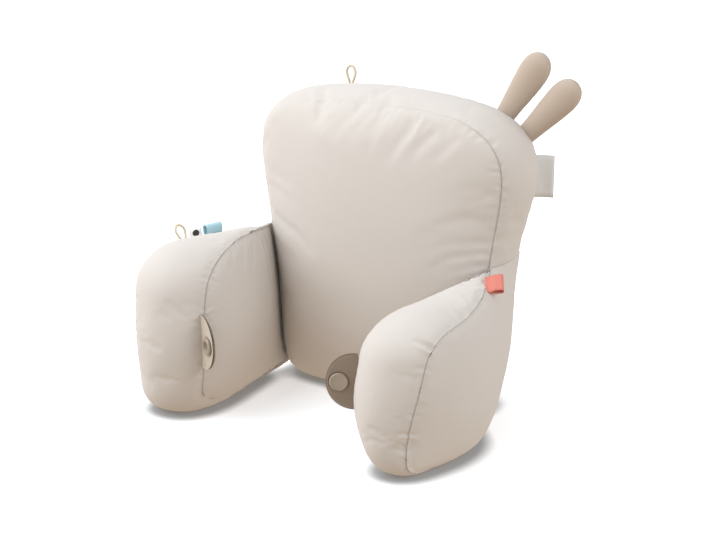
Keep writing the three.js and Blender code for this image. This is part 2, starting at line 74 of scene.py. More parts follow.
# Filling
MERGE = 0.02 * MM  # points this near each other are one
QUAD_BEND = 0.7  # most that the two triangles of a quad are folded, in radians
QUAD_SKEW = 1.2  # most that the corners of a quad are off square, in radians
SMOOTHING = 2  # times each quad of a solid is split before the filling
FINISHING = 1  # times it is split again after it
CLOTH_MASS = 0.15
CLOTH_STRETCH = 20
CLOTH_SHEAR = 8
CLOTH_BEND = 0.2
FILL_PRESSURE = 4.0
FILL_STEPS = 24
FILL_QUALITY = 5
FIRM_SLACK = 0.006  # spare cloth where a panel is smooth
FOLD_SLACK = 0.04  # spare cloth where it lies in folds
FILL_LIMIT = 7 * MM  # most that the filling moves a point
TOUCHING = 1.2 * MM  # cloth this near a neighbour lies on it
# Middles and reaches of the places that lie in folds
SLACK_PLACES = {
    "back": (((0.01, -0.04, 0.29), 0.085), ((0.115, -0.04, 0.175), 0.045)),
    "arm_right": (((0.13, -0.06, 0.15), 0.03),),
    "arm_left": (((-0.118, -0.07, 0.15), 0.035),),
}

# Places where the sewn shape is fuller than the solid, or flatter: middle, reach and height
PLUMP_PLACES = {
    "arm_left": (((-0.166, -0.165, 0.160), 0.032, 5 * MM),),
    "back": (
        ((0.100, 0.000, 0.300), 0.055, 3.5 * MM),
        ((0.152, 0.000, 0.255), 0.050, 3.0 * MM),
        ((-0.065, 0.000, 0.310), 0.060, -2.5 * MM),
    ),
}
# The outer seam of the right arm runs in to the middle of its toe: middle, reach and shift
SEAM_SHIFTS = {"arm_right": (((0.158, -0.190, 0.008), 0.060, (-0.011, -0.0035, 0.0)),)}

# Folds that hang from a seam: where each starts and ends, its half width and its depth
FOLDS = {
    "back": (
        ((-0.067, -0.037, 0.294), (-0.061, -0.041, 0.283), 2.2 * MM, 0.8 * MM),
        ((-0.055, -0.036, 0.298), (-0.058, -0.041, 0.286), 2.0 * MM, 0.8 * MM),
        ((-0.042, -0.032, 0.307), (-0.044, -0.036, 0.299), 1.8 * MM, 1.2 * MM),
        ((-0.020, -0.033, 0.306), (-0.019, -0.041, 0.290), 2.2 * MM, 1.0 * MM),
        ((0.008, -0.033, 0.306), (0.006, -0.041, 0.290), 2.4 * MM, 1.0 * MM),
        ((0.026, -0.032, 0.307), (0.021, -0.042, 0.286), 2.6 * MM, 1.1 * MM),
        ((0.054, -0.034, 0.302), (0.045, -0.043, 0.281), 2.8 * MM, 1.5 * MM),
        ((-0.050, -0.033, 0.302), (-0.072, -0.040, 0.277), 4.5 * MM, 0.7 * MM),
        ((-0.018, -0.033, 0.304), (-0.040, -0.044, 0.270), 5.0 * MM, 1.0 * MM),
        ((0.000, -0.034, 0.303), (-0.015, -0.043, 0.276), 4.0 * MM, 0.8 * MM),
        ((0.018, -0.034, 0.304), (0.002, -0.046, 0.262), 4.6 * MM, 1.1 * MM),
        ((0.050, -0.034, 0.303), (0.028, -0.047, 0.258), 5.5 * MM, 1.9 * MM),
        ((0.064, -0.034, 0.299), (0.051, -0.040, 0.284), 3.6 * MM, 0.9 * MM),
        ((0.074, -0.034, 0.295), (0.052, -0.045, 0.262), 5.0 * MM, 1.2 * MM),
        ((0.098, -0.034, 0.288), (0.080, -0.042, 0.265), 4.5 * MM, 0.8 * MM),
        ((0.136, -0.032, 0.236), (0.112, -0.041, 0.228), 4.0 * MM, 0.8 * MM),
        ((0.130, -0.032, 0.178), (0.090, -0.048, 0.171), 4.6 * MM, 1.8 * MM),
        ((0.131, -0.032, 0.190), (0.080, -0.050, 0.181), 6.0 * MM, 1.2 * MM),
        ((0.129, -0.032, 0.169), (0.098, -0.046, 0.157), 4.0 * MM, 1.0 * MM),
    ),
    "arm_right": (((0.162, -0.179, 0.133), (0.144, -0.184, 0.139), 2.4 * MM, 4.5 * MM),),
    "arm_left": (
        ((-0.106, -0.128, 0.164), (-0.097, -0.145, 0.146), 3.0 * MM, 0.9 * MM),
        ((-0.108, -0.107, 0.164), (-0.098, -0.124, 0.143), 3.2 * MM, 1.0 * MM),
        ((-0.112, -0.087, 0.161), (-0.100, -0.105, 0.139), 2.8 * MM, 1.0 * MM),
        ((-0.117, -0.075, 0.158), (-0.112, -0.080, 0.125), 2.6 * MM, 0.8 * MM),
        ((-0.119, -0.064, 0.158), (-0.114, -0.066, 0.120), 2.6 * MM, 0.9 * MM),
        ((-0.122, -0.053, 0.158), (-0.116, -0.053, 0.122), 2.4 * MM, 0.8 * MM),
    ),
}
# Places where the seams lie smooth: middle, reach and how calm they are
CALM_PLACES = {
    "back": (
        ((-0.115, -0.02, 0.27), 0.07, 0.9),
        ((-0.02, -0.03, 0.31), 0.075, 0.85),
        ((0.05, -0.03, 0.305), 0.05, 0.75),
        ((-0.125, -0.03, 0.08), 0.10, 0.85),
        ((0.125, -0.03, 0.06), 0.09, 0.85),
    ),
    "arm_right": (((0.105, -0.14, 0.13), 0.075, 0.5), ((0.152, -0.142, 0.003), 0.045, 0.9)),
    "arm_left": (((-0.172, -0.145, 0.003), 0.045, 0.9), ((-0.108, -0.13, 0.008), 0.03, 0.9)),
}
# How suddenly these places end at their reach
SLACK_FADE = 4
SHIFT_FADE = 3
CALM_FADE = 4
# Shape of a fold along it, in shares of its length
FOLD_LEAD = 0.1  # it begins this far before its start
FOLD_RISE = 0.25  # it deepens over this much
FOLD_RUN = 1.15  # it has faded out here
FOLD_TAPER = 0.8  # below 1 it stays deep for longer
# Shape of a fold across it, in half widths
FOLD_SPREAD = 5  # it moves no cloth further away
FOLD_WAVER = 0.5  # how far it wanders
FOLD_WANDER = (2.2, 7.3)  # how fast it wanders along its length, and how unlike the next one
RIDGE_OFF = 1.7  # place of the ridge beside a fold or a pucker
FOLD_RIDGE = 0.6  # height of that ridge over the depth of a fold
PUCKER_RIDGE = 0.45  # and over that of a pucker

# Sewing
STRAY_RUN = 3  # a run of this few points is no seam
SEAM_REACH = 30 * MM  # the sewing moves no cloth further away
TUCK_DEPTH = 1.6 * MM  # the cloth dips at a seam
TUCK_REACH = 6 * MM
CALM_TUCK = 0.4  # share of the dip that stays where a seam lies smooth
PUCKER_SPACING = 6.5 * MM
PUCKER_REACH = 9 * MM
PUCKER_WIDTH = 2.2 * MM
PUCKER_DEPTH = 2.0 * MM
PUCKER_SLANT = 0.6  # most that a pucker leans along its seam
PUCKER_SHARE = 0.6  # of the places along a seam have a pucker
# Least and most that one pucker has of the values above
SPACING_RANGE = (0.6, 1.4)
REACH_RANGE = (0.4, 1.0)
WIDTH_RANGE = (0.7, 1.3)
DEPTH_RANGE = (0.3, 1.0)
PUCKER_EXTENT = (4, 2.5)  # widths and reaches past which a pucker moves nothing
SEED_STEPS = (31, 7)  # give each seam, and each panel beside it, its own puckers
ROOT_REACH = 1.5 * MM  # at the seam itself the cloth is held flat
STILL_REACH = 0.5 * MM  # cloth that lies on something moves only this near a seam
# Puckers come in bunches: length, usual strength, swing, and how unlike seams and panels are
BUNCH_LENGTH = 45 * MM
BUNCH_LEVEL = 0.7
BUNCH_SWING = 0.8
BUNCH_STEPS = (3.7, 1.9)
GROOVE_WIDTH = 1.4 * MM
GROOVE_DEPTH = 1.7 * MM
LIP_HEIGHT = 0.3 * MM  # the cloth stands up a little beside a groove


def linked(name, mesh):
    piece = bpy.data.objects.new(name, mesh)
    bpy.context.scene.collection.objects.link(piece)
    return piece


def evaluated(piece):
    """The mesh of a piece with its modifiers, or of a curve."""
    bpy.context.view_layer.update()
    graph = bpy.context.evaluated_depsgraph_get()
    return bpy.data.meshes.new_from_object(piece.evaluated_get(graph))


def bake(piece):
    """The piece's modifiers become its mesh."""
    mesh = evaluated(piece)
    piece.modifiers.clear()
    piece.data = mesh


def show(piece, node):
    """The piece stands for a node of the solid part."""
    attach(piece, "root")
    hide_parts(node)
    return piece


def bell(share, power=2):
    """1 at 0, falling to nothing past 1, more suddenly with a higher power."""
    return math.exp(-(share**power))


# Cloth and other finishes
COTTON_ROUGHNESS = 0.86
RIBBON_ROUGHNESS = 0.62
CORD_ROUGHNESS = 0.7
TAPE_ROUGHNESS = 0.8
PLASTIC_ROUGHNESS = 0.42
COTTON_SHEEN = 0.25
RIBBON_SHEEN = 0.15
SHEEN_SPREAD = 0.5
CLOTH_GLOSS = 0.25
PLASTIC_GLOSS = 0.5
# Specks: how many there are to a metre, and how finely they break up
DYE_CLOUDS = (18, 4)
THREAD_SLUBS = (900, 3)
CORD_FIBRES = (2200, 3)
PLASTIC_GRAIN = (1500, 2)
# Distance from ridge to ridge
THREAD_PITCH = 0.5 * MM
RIB_PITCH = 0.9 * MM
TAPE_PITCH = 0.6 * MM
# Relief: strength and depth
WEAVE_RELIEF = (0.3, 0.18 * MM)
RIB_RELIEF = (0.35, 0.2 * MM)
FIBRE_RELIEF = (0.4, 0.1 * MM)
TAPE_RELIEF = (0.25, 0.1 * MM)
GRAIN_RELIEF = (0.15, 0.05 * MM)
# Dots of the folded tag: their places along its tape and across it, and half their size
TAG_LENGTH = 34 * MM  # of the tape that is folded into the tag
DOT_ALONG = 12.6 * MM
DOT_ACROSS = 7 * MM
DOT_PLACES = ((DOT_ALONG, DOT_ACROSS), (TAG_LENGTH - DOT_ALONG, DOT_ACROSS))
DOT_HALF = (3.4 * MM, 4.2 * MM)
DOT_BLUR = 0.06  # share of its radius over which the edge of a dot fades


def specks(nodes, links, place, kind):
    """Soft random specks, from 0 to 1."""
    scale, detail = kind
    speck = nodes.new("ShaderNodeTexNoise")
    speck.inputs["Scale"].default_value = scale
    speck.inputs["Detail"].default_value = detail
    links.new(place.outputs["Object"], speck.inputs["Vector"])
    return speck.outputs["Fac"]


def cloth_nodes(name, colour, shade, roughness=COTTON_ROUGHNESS, sheen=COTTON_SHEEN):
    """Slightly uneven dye: the finish, its nodes and links, its shader, coordinates and colour."""
    finish = bpy.data.materials.new(name)
    finish.use_nodes = True
    nodes = finish.node_tree.nodes
    links = finish.node_tree.links
    shader = nodes["Principled BSDF"]
    shader.inputs["Roughness"].default_value = roughness
    shader.inputs["Specular IOR Level"].default_value = CLOTH_GLOSS
    shader.inputs["Sheen Weight"].default_value = sheen
    shader.inputs["Sheen Roughness"].default_value = SHEEN_SPREAD
    place = nodes.new("ShaderNodeTexCoord")
    cloud = specks(nodes, links, place, DYE_CLOUDS)
    tint = nodes.new("ShaderNodeMix")
    tint.data_type = "RGBA"
    tint.inputs["A"].default_value = (*colour, 1)
    tint.inputs["B"].default_value = (*shade, 1)
    links.new(cloud, tint.inputs["Factor"])
    links.new(tint.outputs["Result"], shader.inputs["Base Color"])
    return finish, nodes, links, shader, place, tint.outputs["Result"]


def bands(nodes, links, place, pitch, across=False):
    """Ridges a pitch apart, along the length of a cut or across it."""
    ridge = nodes.new("ShaderNodeTexWave")
    ridge.bands_direction = "Y" if across else "X"
    ridge.inputs["Scale"].default_value = math.pi / (10 * pitch)  # a wave of scale 1 is pi / 10 long
    ridge.inputs["Distortion"].default_value = 0
    links.new(place.outputs["UV"], ridge.inputs["Vector"])
    return ridge.outputs["Fac"]


def raise_from(nodes, links, shader, height, relief):
    strength, depth = relief
    bump = nodes.new("ShaderNodeBump")
    bump.inputs["Strength"].default_value = strength
    bump.inputs["Distance"].default_value = depth
    links.new(height, bump.inputs["Height"])
    links.new(bump.outputs["Normal"], shader.inputs["Normal"])


def joined(nodes, links, operation, first, second):
    node = nodes.new("ShaderNodeMath")
    node.operation = operation
    links.new(first, node.inputs[0])
    links.new(second, node.inputs[1])
    return node.outputs[0]


def woven(name, colour, shade):
    """Plain cotton: threads over and under each other, some of them thicker."""
    finish, nodes, links, shader, place, _ = cloth_nodes(name, colour, shade)
    warp = bands(nodes, links, place, THREAD_PITCH)
    weft = bands(nodes, links, place, THREAD_PITCH, across=True)
    over = joined(nodes, links, "MAXIMUM", warp, weft)
    slub = specks(nodes, links, place, THREAD_SLUBS)
    height = joined(nodes, links, "MULTIPLY", over, slub)
    raise_from(nodes, links, shader, height, WEAVE_RELIEF)
    return finish


def ribbed(name, colour, shade, pitch=RIB_PITCH):
    """Ribbon with fine ribs across it."""
    made_of = cloth_nodes(name, colour, shade, RIBBON_ROUGHNESS, RIBBON_SHEEN)
    finish, nodes, links, shader, place, _ = made_of
    rib = bands(nodes, links, place, pitch)
    raise_from(nodes, links, shader, rib, RIB_RELIEF)
    return finish


def twisted(name, colour, shade):
    """Cord of fine fibres."""
    finish, nodes, links, shader, place, _ = cloth_nodes(name, colour, shade, CORD_ROUGHNESS)
    fibre = specks(nodes, links, place, CORD_FIBRES)
    raise_from(nodes, links, shader, fibre, FIBRE_RELIEF)
    return finish


def dotted_tape(name, colour, shade, dot):
    """White tape with a dark woven dot on each of its layers."""
    finish, nodes, links, shader, place, under = cloth_nodes(name, colour, shade, TAPE_ROUGHNESS)
    rib = bands(nodes, links, place, TAPE_PITCH)
    raise_from(nodes, links, shader, rib, TAPE_RELIEF)
    tall, wide = DOT_HALF
    for along, across in DOT_PLACES:
        centre = nodes.new("ShaderNodeMapping")
        centre.inputs["Location"].default_value = (-along / tall, -across / wide, 0)
        centre.inputs["Scale"].default_value = (1 / tall, 1 / wide, 1)
        links.new(place.outputs["UV"], centre.inputs["Vector"])
        disc = nodes.new("ShaderNodeTexGradient")
        disc.gradient_type = "SPHERICAL"
        links.new(centre.outputs["Vector"], disc.inputs["Vector"])
        edge = nodes.new("ShaderNodeMapRange")
        edge.inputs["From Max"].default_value = DOT_BLUR
        links.new(disc.outputs["Fac"], edge.inputs["Value"])
        ink = nodes.new("ShaderNodeMix")
        ink.data_type = "RGBA"
        ink.inputs["B"].default_value = (*dot, 1)
        links.new(edge.outputs["Result"], ink.inputs["Factor"])
        links.new(under, ink.inputs["A"])
        under = ink.outputs["Result"]
    links.new(under, shader.inputs["Base Color"])
    return finish


def moulded(name, colour, shade):
    """Matt moulded plastic with a fine grain."""
    finish, nodes, links, shader, place, _ = cloth_nodes(name, colour, shade, PLASTIC_ROUGHNESS, 0.0)
    shader.inputs["Specular IOR Level"].default_value = PLASTIC_GLOSS
    grain = specks(nodes, links, place, PLASTIC_GRAIN)
    raise_from(nodes, links, shader, grain, GRAIN_RELIEF)
    return finish


SAND = woven("sand_cotton", (0.620, 0.577, 0.535), (0.590, 0.545, 0.500))
DARK_SAND = woven("dark_sand_cotton", (0.51, 0.418, 0.34), (0.47, 0.383, 0.307))
# the right tab's own dark sand cotton, made darker still with painted shade
TAB_SAND_WITH_PAINTED_SHADE = woven("tab_cotton", (0.285, 0.228, 0.178), (0.262, 0.208, 0.16))
PALE_TAB = woven("pale_tab_cotton", (0.54, 0.47, 0.385), (0.50, 0.43, 0.35))
CREAM = twisted("cream_cord", (0.68, 0.59, 0.43), (0.62, 0.52, 0.36))
BLUE = ribbed("blue_ribbon", (0.43, 0.65, 0.73), (0.39, 0.61, 0.69))
CORAL = ribbed("coral_ribbon", (0.68, 0.215, 0.165), (0.64, 0.195, 0.15))
WHITE = ribbed("white_tape", (0.74, 0.74, 0.73), (0.70, 0.70, 0.69), TAPE_PITCH)
DOT_TAPE = dotted_tape(
    "dot_tape", (0.95, 0.95, 0.94), (0.93, 0.93, 0.92), (0.045, 0.04, 0.036)
)
THREAD = twisted("sand_thread", (0.62, 0.55, 0.47), (0.56, 0.49, 0.41))
SNAP = moulded("sand_plastic", (0.34, 0.28, 0.215), (0.32, 0.26, 0.20))


# Filled cushions


def calm(node, spot):
    """How smooth the seams lie at a place, from 0 to 1."""
    return max(
        (
            share * bell((spot - Vector(middle)).length / reach, CALM_FADE)
            for middle, reach, share in CALM_PLACES.get(node, ())
        ),
        default=0.0,
    )


def mark_seams(bm, node):
    """Marks the sharp folds as seams, runs each on along fainter folds and creases the rims."""
    crease = bm.edges.layers.float.new("crease_edge")

    def fold(edge):
        a, b = (v.co for v in edge.verts)
        on_floor = max(a.z, b.z) < FLOOR_TOUCH
        at_toe = max(a.z, b.z) < TOE_HEIGHT and max(a.y, b.y) < TOE_FRONT
        across = abs(a.x - b.x) > TOE_ACROSS * (a - b).length
        return 0 if on_floor or (at_toe and across) else edge.calc_face_angle(0)

    def sewn(vertex):
        return [e for e in vertex.link_edges if e[crease] > CREASED]

    for edge in bm.edges:
        edge[crease] = 1.0 if fold(edge) > SURE_SEAM else 0.0
    ends = [v for v in bm.verts if len(sewn(v)) == 1]
    while ends:
        tip = ends.pop()
        if len(sewn(tip)) != 1:
            continue
        way = tip.co - sewn(tip)[0].other_vert(tip).co
        turn = {e: way.angle(e.other_vert(tip).co - tip.co) for e in tip.link_edges}
        onward = [e for e in tip.link_edges if e[crease] < CREASED and fold(e) > FAINT_SEAM]
        onward = [e for e in onward if turn[e] < SEAM_TURN]
        if onward:
            best = min(onward, key=turn.get)
            best[crease] = 1.0
            ends.append(best.other_vert(tip))
    loose = [v for v in bm.verts if len(sewn(v)) == 1 and v.co.z > TOE_HEIGHT]
    while loose:
        tip = loose.pop()
        for edge in sewn(tip):
            edge[crease] = 0.0
            far = edge.other_vert(tip)
            if len(sewn(far)) == 1:
                loose.append(far)
    for edge in bm.edges:
        edge.seam = edge[crease] > CREASED and fold(edge) < RIM_FOLD
        if edge.seam:
            edge[crease] = 1 - calm(node, (edge.verts[0].co + edge.verts[1].co) / 2)


def box_uv(bm):
    """The weave of each face runs along the two axes that it faces least, in metres."""
    cut = bm.loops.layers.uv.new("cut")
    bm.normal_update()
    for face in bm.faces:
        facing = max(range(3), key=lambda axis: abs(face.normal[axis]))
        u, v = (axis for axis in range(3) if axis != facing)
        for loop in face.loops:
            loop[cut].uv = (loop.vert.co[u], loop.vert.co[v])


def smooth_copy(node):
    """A cushion's solid as quads, split finely, with its seams kept sharp."""
    bm = bmesh.new()
    bm.from_mesh(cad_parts[node].data)
    bmesh.ops.remove_doubles(bm, verts=bm.verts, dist=MERGE)
    mark_seams(bm, node)
    for middle, reach, shift in SEAM_SHIFTS.get(node, ()):
        for vertex in bm.verts:
            share = bell((vertex.co - Vector(middle)).length / reach, SHIFT_FADE)
            vertex.co += Vector(shift) * share
    bmesh.ops.join_triangles(
        bm,
        faces=bm.faces,
        cmp_seam=True,
        angle_face_threshold=QUAD_BEND,
        angle_shape_threshold=QUAD_SKEW,
    )
    box_uv(bm)
    for part in (*bm.edges, *bm.faces):
        part.smooth = True
    mesh = bpy.data.meshes.new(node)
    bm.to_mesh(mesh)
    bm.free()
    mesh.materials.append(SAND)
    piece = linked(node + "_cloth", mesh)
    split_finer(piece, SMOOTHING)
    return piece


def split_finer(piece, times):
    split = piece.modifiers.new("split", "SUBSURF")
    split.levels = split.render_levels = times
    bake(piece)


def solid_tree(node):
    bm = bmesh.new()
    bm.from_mesh(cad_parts[node].data)
    tree = BVHTree.FromBMesh(bm)
    bm.free()
    return tree


def held_points(piece, node):
    """Points that the filling doesn't move: seams, what stands on the floor or lies on a neighbour."""
    mesh = piece.data
    crease = mesh.attributes["crease_edge"].data
    held = {v for e in mesh.edges if crease[e.index].value > CREASED for v in e.vertices}
    others = [SOLID_TREES[n] for n in CUSHIONS if n != node]
    for vertex in mesh.vertices:
        near = min(tree.find_nearest(vertex.co)[3] for tree in others)
        if vertex.co.z < FLOOR_TOUCH or near < TOUCHING:
            held.add(vertex.index)
    return held


def fill(piece, node):
    """The filling presses the cloth out between its seams, where the spare cloth gathers."""
    group = piece.vertex_groups.new(name="held")
    group.add(list(held_points(piece, node)), 1.0, "REPLACE")
    slack = piece.vertex_groups.new(name="slack")
    for vertex in piece.data.vertices:
        share = 0.0
        for middle, reach in SLACK_PLACES.get(node, ()):
            share = max(share, bell((vertex.co - Vector(middle)).length / reach, SLACK_FADE))
        slack.add([vertex.index], share, "REPLACE")
    before = [v.co.copy() for v in piece.data.vertices]
    filling = piece.modifiers.new("filling", "CLOTH")
    cloth = filling.settings
    cloth.quality = FILL_QUALITY
    cloth.mass = CLOTH_MASS
    cloth.tension_stiffness = CLOTH_STRETCH
    cloth.compression_stiffness = CLOTH_STRETCH
    cloth.shear_stiffness = CLOTH_SHEAR
    cloth.bending_stiffness = CLOTH_BEND
    cloth.vertex_group_mass = group.name
    cloth.pin_stiffness = 1
    cloth.vertex_group_shrink = slack.name
    cloth.shrink_min = -FIRM_SLACK
    cloth.shrink_max = -FOLD_SLACK
    cloth.use_pressure = True
    cloth.uniform_pressure_force = FILL_PRESSURE
    cloth.effector_weights.gravity = 0
    filling.point_cache.frame_start = 1
    filling.point_cache.frame_end = FILL_STEPS
    for step in range(1, FILL_STEPS + 1):
        bpy.context.scene.frame_set(step)
    bake(piece)
    for vertex, start in zip(piece.data.vertices, before):
        shift = vertex.co - start
        if shift.length > FILL_LIMIT:
            vertex.co = start + shift * (FILL_LIMIT / shift.length)
        vertex.co.z = max(vertex.co.z, 0)
    piece.vertex_groups.clear()


def seam_runs(mesh):
    """Each seam as a list of points a step apart, from one meeting of seams to the next."""
    sewn = mesh.attributes["uv_seam"].data
    ties = {}
    for edge in mesh.edges:
        if sewn[edge.index].value:
            a, b = edge.vertices
            ties.setdefault(a, []).append(b)
            ties.setdefault(b, []).append(a)
    runs, done = [], set()
    starts = [v for v in ties if len(ties[v]) != 2] + list(ties)
    for start in starts:
        for onward in ties[start]:
            run = [start, onward]
            if (start, onward) in done:
                continue
            while len(ties[run[-1]]) == 2 and run[-1] != start:
                run.append(next(v for v in ties[run[-1]] if v != run[-2]))
            done.update(zip(run, run[1:]))
            done.update(zip(run[1:], run))
            runs.append([mesh.vertices[v].co.copy() for v in run])
    return runs


def panels(mesh):
    """A number for each vertex that says which panel, between seams, it is on."""
    sewn = mesh.attributes["uv_seam"].data
    beside = [[] for _ in mesh.vertices]
    at_seam = set()
    for edge in mesh.edges:
        a, b = edge.vertices
        beside[a].append(b)
        beside[b].append(a)
        if sewn[edge.index].value:
            at_seam.update((a, b))
    number = [-1] * len(mesh.vertices)
    count = 0
    for first in range(len(number)):
        if number[first] >= 0 or first in at_seam:
            continue
        reached = [first]
        number[first] = count
        while reached:
            for v in beside[reached.pop()]:
                if number[v] < 0 and v not in at_seam:
                    number[v] = count
                    reached.append(v)
        count += 1
    return number


def settle_rims(piece):
    """Presses an arm's outer rim onto the back, and leaves a narrow pocket along its inner side."""
    mesh = piece.data
    crease = mesh.attributes["crease_edge"].data
    sewn = mesh.attributes["uv_seam"].data
    rims = [e for e in mesh.edges if crease[e.index].value > CREASED and not sewn[e.index].value]
    points = {v for e in rims for v in e.vertices}
    if not points:
        return
    back = SOLID_TREES["back"]
    front, rear = POCKET_SPAN
    facing = [v.normal.x * v.co.x < 0 for v in mesh.vertices]
    for vertex, faces_in in zip(mesh.vertices, facing):
        spot, normal, _, away = back.find_nearest(vertex.co)
        if vertex.index in points and away < TOUCHING and abs(vertex.co.x) >= INNER_RIM:
            vertex.co = spot - normal * RIM_PRESS
        if faces_in and away < POCKET_MOUTH and abs(vertex.co.x) < INNER_RIM:
            turn = min(1.0, (POCKET_MOUTH - away) / POCKET_EDGE)
            fade = min(1.0, max(0.0, (rear - vertex.co.y) / (rear - front)))
            vertex.co += normal * POCKET_WIDTH * turn * fade
        vertex.co.z = max(vertex.co.z, 0)


def crumple(piece, node):
    """Lays the larger folds into the cloth and plumps it where it is fullest."""
    mesh = piece.data
    normals = [v.normal.copy() for v in mesh.vertices]
    for number, (start, end, half, depth) in enumerate(FOLDS.get(node, ())):
        a, b = Vector(start), Vector(end)
        for vertex, normal in zip(mesh.vertices, normals):
            spot, share = intersect_point_line(vertex.co, a, b)
            beside = (vertex.co - spot).length < FOLD_SPREAD * half
            if not (beside and -FOLD_LEAD < share < FOLD_RUN):
                continue
            side = normal.cross(b - a).normalized()
            off = (vertex.co - spot).dot(side) / half
            off += FOLD_WAVER * noise.noise((share * FOLD_WANDER[0], FOLD_WANDER[1] * number, 1.0))
            rise = min(1.0, max(0.0, (share + FOLD_LEAD) / FOLD_RISE))
            fade = rise * max(0.0, 1 - share / FOLD_RUN) ** FOLD_TAPER
            shape = -bell(off) + FOLD_RIDGE * bell(off - RIDGE_OFF)
            vertex.co += normal * depth * fade * shape
    for middle, reach, height in PLUMP_PLACES.get(node, ()):
        for vertex, normal in zip(mesh.vertices, normals):
            share = bell((vertex.co - Vector(middle)).length / reach)
            vertex.co += normal * height * share


def seam_puckers(length, seed, scale):
    """Puckers along one side of a seam: place, slant, reach, width and depth."""
    dice = random.Random(seed)
    puckers = []
    place = 0.0
    while place < length:
        place += scale * PUCKER_SPACING * dice.uniform(*SPACING_RANGE)
        slant = dice.uniform(-PUCKER_SLANT, PUCKER_SLANT)
        reach = scale * PUCKER_REACH * dice.uniform(*REACH_RANGE)
        width = scale * PUCKER_WIDTH * dice.uniform(*WIDTH_RANGE)
        depth = scale * PUCKER_DEPTH * dice.uniform(*DEPTH_RANGE)
        if dice.random() < PUCKER_SHARE:
            puckers.append((place, slant, reach, width, depth))
    return puckers


def pucker_depth(puckers, along, away):
    """How far the puckers beside a seam draw the cloth in, at a place along it and away from it."""
    widths, reaches = PUCKER_EXTENT
    depth = 0.0
    for place, slant, reach, width, most in puckers:
        off = (along + slant * away - place) / width
        if abs(off) < widths and away < reaches * reach:
            fold = bell(off) - PUCKER_RIDGE * bell(off - RIDGE_OFF)
            depth += most * fold * bell(away / reach)
    return depth


def gather(piece, node, scale=1.0):
    """Draws the cloth in along its seams, with small puckers that run into the panels."""
    mesh = piece.data
    runs = SEAMS[node] = [r for r in seam_runs(mesh) if len(r) > STRAY_RUN]
    places, lengths, puckers = [], [], {}
    for number, run in enumerate(runs):
        along = 0.0
        for a, b in zip(run, run[1:]):
            for share in (0, 0.5):
                places.append((a.lerp(b, share), along + share * (b - a).length, number))
            along += (b - a).length
        lengths.append(along)
    tree = kdtree.KDTree(len(places))
    for index, (spot, _, _) in enumerate(places):
        tree.insert(spot, index)
    tree.balance()
    panel = panels(mesh)
    still = held_points(piece, node)
    normals = [v.normal.copy() for v in mesh.vertices]
    for vertex in mesh.vertices:
        spot, index, away = tree.find(vertex.co)
        if away > SEAM_REACH or vertex.co.z < FLOOR_TOUCH:
            continue
        _, along, number = places[index]
        side = (number, panel[vertex.index])
        if side not in puckers:
            seed = SEED_STEPS[0] * side[0] + SEED_STEPS[1] * side[1]
            puckers[side] = seam_puckers(lengths[number], seed, scale)
        wave = noise.noise((along / BUNCH_LENGTH, BUNCH_STEPS[0] * side[0], BUNCH_STEPS[1] * side[1]))
        bunch = max(0.0, BUNCH_LEVEL + BUNCH_SWING * wave)
        pucker = bunch * pucker_depth(puckers[side], along, away)
        rough = 1 - calm(node, vertex.co)
        tuck = scale * TUCK_DEPTH * bell(away / (scale * TUCK_REACH))
        tuck *= CALM_TUCK + (1 - CALM_TUCK) * rough
        root = 1 - bell(away / ROOT_REACH)
        depth = tuck + pucker * rough * root
        if vertex.index in still and away > STILL_REACH:
            depth = 0
        vertex.co -= normals[vertex.index] * depth
        vertex.co.z = max(vertex.co.z, 0)


def bevelled(bm, edges, offset):
    return bmesh.ops.bevel(
        bm,
        geom=edges,
        offset=offset,
        offset_type="OFFSET",
        affect="EDGES",
        segments=2,
        profile=0.5,
        material=-1,
    )


def groove(piece, node, scale=1.0):
    """Cuts a narrow stitched groove along each seam."""
    bm = bmesh.new()
    bm.from_mesh(piece.data)
    seams = [e for e in bm.edges if e.seam]
    cut = bevelled(bm, seams, scale * GROOVE_WIDTH / 2)
    new = set(cut["faces"])
    bm.normal_update()
    for vertex in cut["verts"]:
        rough = 1 - calm(node, vertex.co)
        middle = all(f in new for f in vertex.link_faces)
        vertex.co += vertex.normal * scale * rough * (-GROOVE_DEPTH if middle else LIP_HEIGHT)
        vertex.co.z = max(vertex.co.z, 0)
    for face in bm.faces:
        face.smooth = True
    bm.to_mesh(piece.data)
    bm.free()


def cushion(node):
    piece = smooth_copy(node)
    fill(piece, node)
    split_finer(piece, FINISHING)
    if node != "back":
        settle_rims(piece)
    crumple(piece, node)
    gather(piece, node)
    groove(piece, node)
    show(piece, node)
    return piece


CUSHIONS = ("arm_right", "arm_left", "back")
SOLID_TREES = {node: solid_tree(node) for node in CUSHIONS}
SEAMS = {}
pieces = {node: cushion(node) for node in CUSHIONS}


# Trims
MOSTLY = 0.75  # share of a seam's direction that counts as front to back
TRIM_ROOT = 5 * MM  # a trim goes this far into the seam that holds it
STRIP_STEPS = 8  # quads across a ribbon

# Horns: half width, and distance along the horn
HORN_OUTLINE = (
    (10.2, -10),
    (10.8, 4),
    (12.8, 22),
    (15, 42),
    (15.9, 54),
    (14.8, 64),
    (11.3, 71),
    (5.8, 75),
    (0, 76),
)
HORN_SIDES = 24
HORN_FLATNESS = 0.62  # thickness over width
HORN_PUCKERS = 0.45  # of the size of those on a cushion
HORN_SMOOTHING = 2
HORN_Y = 27 * MM
NEARLY = 0.1 * MM  # lengths below this are none
# Place across and up, and lean
HORNS = {
    "horn_upper": (112 * MM, 300 * MM, math.radians(33)),
    "horn_lower": (137 * MM, 285 * MM, math.radians(43)),
}

